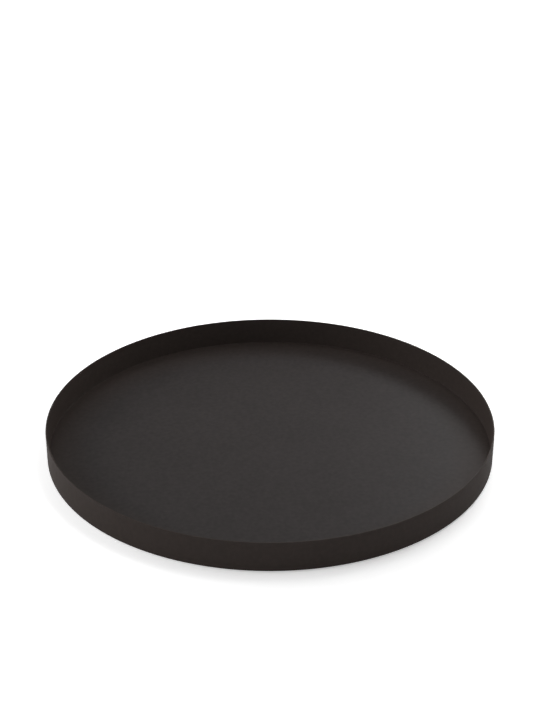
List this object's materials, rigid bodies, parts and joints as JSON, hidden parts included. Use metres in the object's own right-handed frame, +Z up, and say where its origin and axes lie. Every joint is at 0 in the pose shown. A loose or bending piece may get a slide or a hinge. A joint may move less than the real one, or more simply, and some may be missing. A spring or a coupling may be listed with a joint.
{
  "type": "serving tray",
  "caption": "Round serving tray with a flat floor and a low straight upright rim, welded from coated sheet steel, standing on thin rubber feet.",
  "frame": {"origin": "on the table, under the middle of the tray, level with the bottom of the feet", "axes": "+Z up out of the tray, -Y towards the front of the picture, +X to the right as seen from the front"},
  "size_m": [0.3, 0.3, 0.0211],
  "materials": {
    "powder_coat": "matt warm-black powder coat with a fine grain",
    "foot_rubber": "dull black rubber"
  },
  "bodies": {
    "root": {"base_plate": "powder_coat", "rim_band": "powder_coat", "rim_seam_weld": "powder_coat", "corner_weld": "powder_coat", "rubber_foot_front_left": "foot_rubber", "rubber_foot_front_right": "foot_rubber", "rubber_foot_rear_left": "foot_rubber", "rubber_foot_rear_right": "foot_rubber"}
  },
  "joints": []
}
